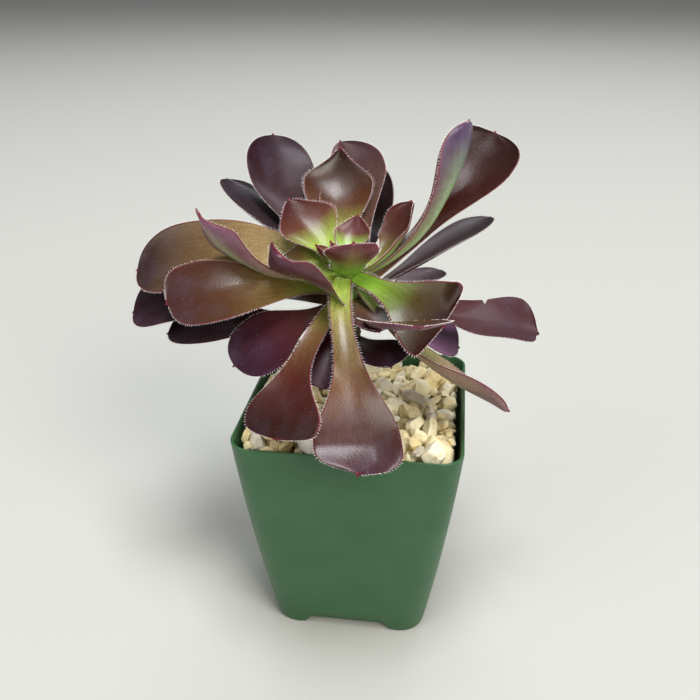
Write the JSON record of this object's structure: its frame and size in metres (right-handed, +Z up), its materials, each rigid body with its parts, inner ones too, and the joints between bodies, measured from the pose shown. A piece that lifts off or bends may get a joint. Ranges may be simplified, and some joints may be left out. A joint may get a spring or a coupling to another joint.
{
  "type": "potted aeonium",
  "caption": "Rosette succulent with spoon-shaped dark red leaves on a short bare stem, in a tapered square nursery pot dressed with crushed stone.",
  "frame": {"origin": "under the middle of the whole plant's box, in the plane of the pot's feet; the pot's axis stands 11 mm towards +X and 2.5 mm towards -Y from it", "axes": "+Z up along the pot's axis, -Y out of the pot's front wall, over which the two drooping front leaves hang, +X to the plant's right seen from the front"},
  "size_m": [0.1676, 0.1481, 0.204],
  "materials": {
    "pot_plastic": "satin",
    "potting_soil": "matte",
    "crushed_stone": "matte",
    "stem_skin": "matte",
    "leaf_green": "satin",
    "leaf_brown": "satin",
    "leaf_dark": "satin"
  },
  "bodies": {
    "root": {"pot": "pot_plastic", "potting_soil": "potting_soil", "gravel_top_dressing": "crushed_stone", "stem": "stem_skin", "leaf_front_centre": "leaf_brown", "leaf_front_left": "leaf_dark", "leaf_left": "leaf_brown", "leaf_left_back": "leaf_brown", "leaf_left_horned": "leaf_brown", "leaf_left_small": "leaf_brown", "leaf_left_dark_high": "leaf_dark", "leaf_left_dark_low": "leaf_dark", "leaf_front_left_dark": "leaf_dark", "leaf_back_inner": "leaf_brown", "leaf_back_second": "leaf_brown", "leaf_back_dark": "leaf_dark", "leaf_back_left_dark": "leaf_dark", "leaf_back_left_low": "leaf_dark", "leaf_inner_left": "leaf_green", "leaf_bud_back": "leaf_green", "leaf_bud_front": "leaf_green", "leaf_bud_small": "leaf_green", "leaf_bud_left": "leaf_green", "leaf_inner_right": "leaf_green", "leaf_right_tall_spoon": "leaf_brown", "leaf_right_tall_narrow": "leaf_brown", "leaf_right_dark": "leaf_dark", "leaf_right_small_dark": "leaf_dark", "leaf_right_front": "leaf_green", "leaf_right_far": "leaf_dark", "leaf_right_low": "leaf_dark", "leaf_front_right_low": "leaf_dark", "leaf_front_right_brown": "leaf_brown", "leaf_front_level": "leaf_brown", "leaf_front_right_folded": "leaf_brown", "leaf_front_low": "leaf_dark"}
  },
  "joints": []
}
